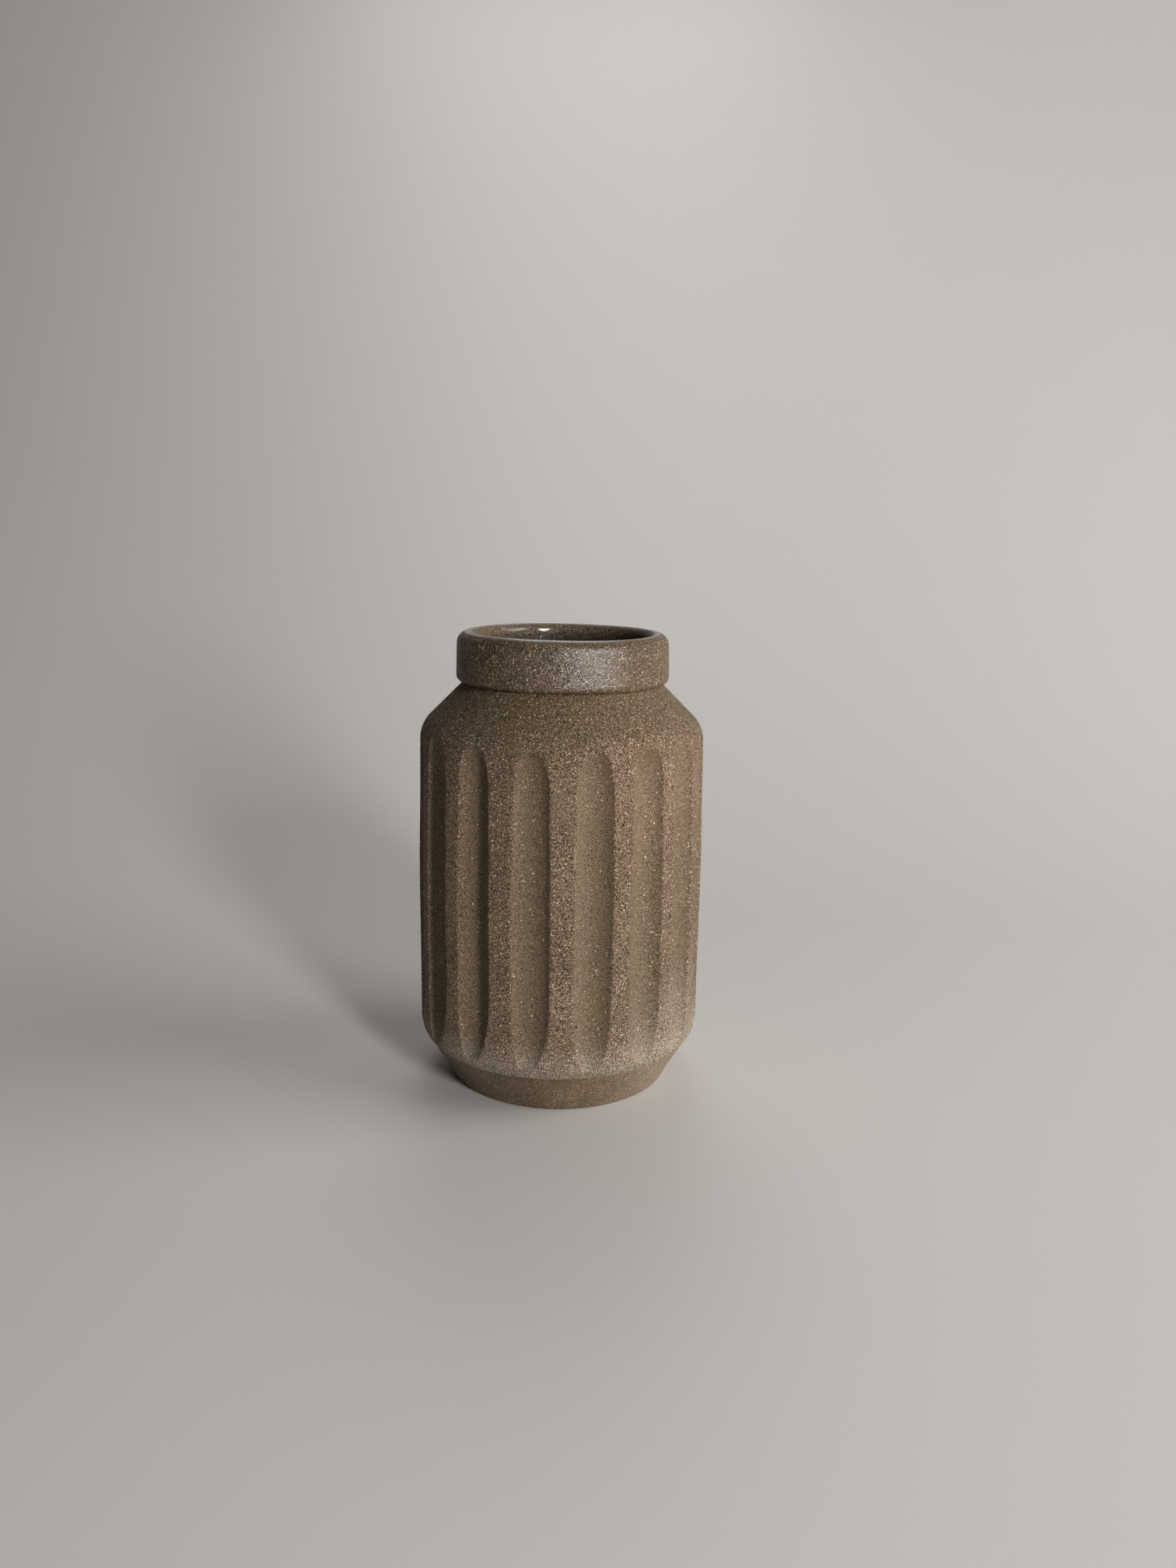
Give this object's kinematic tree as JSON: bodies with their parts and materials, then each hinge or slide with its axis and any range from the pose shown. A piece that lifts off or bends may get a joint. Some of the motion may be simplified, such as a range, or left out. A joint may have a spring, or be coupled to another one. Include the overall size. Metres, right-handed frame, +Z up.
{
  "type": "fluted stoneware vase",
  "caption": "Wheel-thrown stoneware vase: fluted cylinder, sloping shoulder, thick rounded collar, and a glazed lip and inside.",
  "frame": {"origin": "centre of the face that the vase stands on", "axes": "+Z up along the vase's axis; -Y is the front, facing the viewer; +X to the viewer's right"},
  "size_m": [0.092, 0.092, 0.1465],
  "materials": {
    "foot_clay": "bare stoneware, turned smooth",
    "wall_clay": "bare speckled stoneware, coarse on the lands and smoother in the flutes",
    "shoulder_clay": "bare coarse speckled stoneware",
    "collar_clay": "coarse speckled stoneware under glaze",
    "rim_glaze": "thin clear gloss glaze over speckled clay",
    "lining_glaze": "clear gloss glaze over speckled clay"
  },
  "bodies": {
    "root": {"base": "foot_clay", "fluted_wall": "wall_clay", "shoulder": "shoulder_clay", "collar": "collar_clay", "rim_glaze": "rim_glaze", "lining_glaze": "lining_glaze"}
  },
  "joints": []
}
